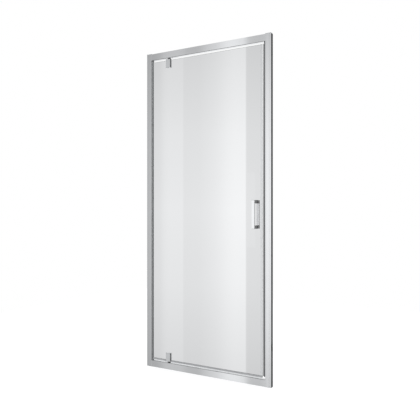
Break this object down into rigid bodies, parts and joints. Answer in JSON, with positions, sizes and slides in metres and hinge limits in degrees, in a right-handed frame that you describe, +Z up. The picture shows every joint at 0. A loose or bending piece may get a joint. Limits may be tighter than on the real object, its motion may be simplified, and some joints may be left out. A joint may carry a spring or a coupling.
{
  "type": "pivot shower door",
  "caption": "Framed shower door with one clear glass leaf that turns on two pivot blocks set in from the hinge side, a slim handle on each face and a magnetic closing seal.",
  "frame": {"origin": "on the floor, midway between the two walls, in the middle of the glass", "axes": "+X from the hinge side to the closing side as seen from the room, +Y from the room into the shower, +Z up"},
  "size_m": [0.8, 0.07, 1.85],
  "materials": {
    "bright_aluminium": "bright polished anodised extrusion",
    "wall_aluminium": "bright anodised extrusion",
    "end_cap_plastic": "metallic grey moulding",
    "screw_steel": "stainless steel",
    "pivot_steel": "turned stainless steel",
    "dark_seal": "dark grey extrusion",
    "magnet_strip": "flexible magnet",
    "pale_magnet_strip": "pale flexible magnet",
    "soft_seal": "grey soft extrusion",
    "black_nylon": "black nylon",
    "clear_seal": "clear soft extrusion",
    "grey_seal": "grey soft extrusion",
    "white_nylon": "natural nylon",
    "grey_nylon": "filled nylon",
    "safety_glass": "clear toughened glass",
    "chrome": "chromed casting",
    "black_gasket": "soft black gasket"
  },
  "bodies": {
    "frame": {"wall_profile_left": "wall_aluminium", "wall_profile_right": "wall_aluminium", "jamb_left": "bright_aluminium", "jamb_right": "bright_aluminium", "end_cap_left": "end_cap_plastic", "end_cap_right": "end_cap_plastic", "top_rail": "bright_aluminium", "bottom_rail": "bright_aluminium", "corner_screws": "screw_steel", "width_screws": "screw_steel", "width_screw_caps": "end_cap_plastic", "strike_seal": "dark_seal", "strike_magnet": "magnet_strip", "hinge_seal": "soft_seal", "top_pivot_bush": "black_nylon", "bottom_pivot_bush": "black_nylon", "top_pivot_carrier": "grey_nylon", "bottom_pivot_carrier": "grey_nylon", "top_carrier_screws": "screw_steel", "bottom_carrier_screws": "screw_steel", "thrust_washer": "black_nylon"},
    "leaf": {"glass_leaf": "safety_glass", "closing_seal": "clear_seal", "closing_magnet": "pale_magnet_strip", "bottom_seal_left": "grey_seal", "bottom_seal_right": "grey_seal", "handle_front": "chrome", "handle_back": "chrome", "handle_gaskets": "black_gasket", "handle_sleeves": "white_nylon", "handle_studs": "screw_steel", "handle_grub_screws": "screw_steel", "top_pivot_block": "chrome", "top_clamp_plate": "chrome", "top_block_gaskets": "black_gasket", "top_clamp_screws": "screw_steel", "top_clamp_sleeves": "white_nylon", "top_pivot_pin": "pivot_steel", "bottom_pivot_block": "chrome", "bottom_clamp_plate": "chrome", "bottom_block_gaskets": "black_gasket", "bottom_clamp_screws": "screw_steel", "bottom_clamp_sleeves": "white_nylon", "bottom_pivot_pin": "pivot_steel"}
  },
  "joints": [
    {"name": "leaf_swing", "type": "hinge", "parent": "frame", "child": "leaf", "pos_m": [-0.249, 0, 0.926], "axis": [0, 0, -1], "range_deg": [0, 90]}
  ]
}
